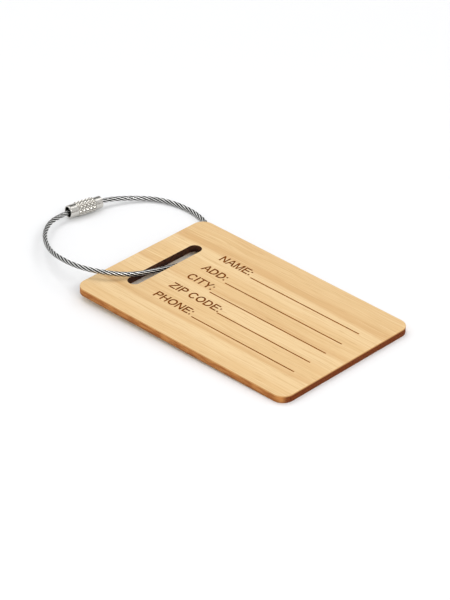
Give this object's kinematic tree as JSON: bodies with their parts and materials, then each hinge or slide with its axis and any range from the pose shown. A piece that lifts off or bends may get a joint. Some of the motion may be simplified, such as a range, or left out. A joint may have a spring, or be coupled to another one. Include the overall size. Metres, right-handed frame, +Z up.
{
  "type": "luggage tag",
  "caption": "Flat engraved bamboo luggage tag with a long slot, carried on a steel wire rope loop that a knurled screw barrel closes.",
  "frame": {"origin": "on the surface the tag lies on, under the middle of the card; the wire loop and its barrel are a cord and are left out of this", "axes": "+X along the card from its slot end to its far end, +Y across the card towards the tops of the engraved letters, +Z up out of the engraved face"},
  "size_m": [0.1227, 0.0613, 0.0076],
  "materials": {
    "bamboo": "sanded bamboo, unvarnished, laser-burnt brown on its cut edges and engraving",
    "steel_rope": "stranded stainless wire rope",
    "bright_steel": "polished nickel, knurled in the middle",
    "brass": "plain turned brass",
    "dull_steel": "crimped steel"
  },
  "bodies": {
    "card": {"bamboo_card": "bamboo"},
    "loop": {"wire_loop": "steel_rope", "threaded_ferrule": "brass"},
    "stop": {"stop_ferrule": "dull_steel"},
    "barrel": {"screw_barrel": "bright_steel"}
  },
  "joints": [
    {"name": "loop_swing", "type": "hinge", "parent": "card", "child": "loop", "pos_m": [-0.03178, 0.0015, 0.00331], "axis": [-0.9997, 0, 0.0244], "range_deg": [0, 155]},
    {"name": "barrel_travel", "type": "slide", "parent": "loop", "child": "stop", "axis": [0.1877, 0.9821, -0.0174], "range_m": [0, 0.003]},
    {"name": "barrel_turn", "type": "hinge", "parent": "stop", "child": "barrel", "pos_m": [-0.07814, 0.00375, 0.00255], "axis": [0.1877, 0.9821, -0.0174], "range_deg": [0, 2160]}
  ],
  "couplings": [
    {"joint": "barrel_turn", "follows": "barrel_travel", "rad_per_m": 12566}
  ]
}
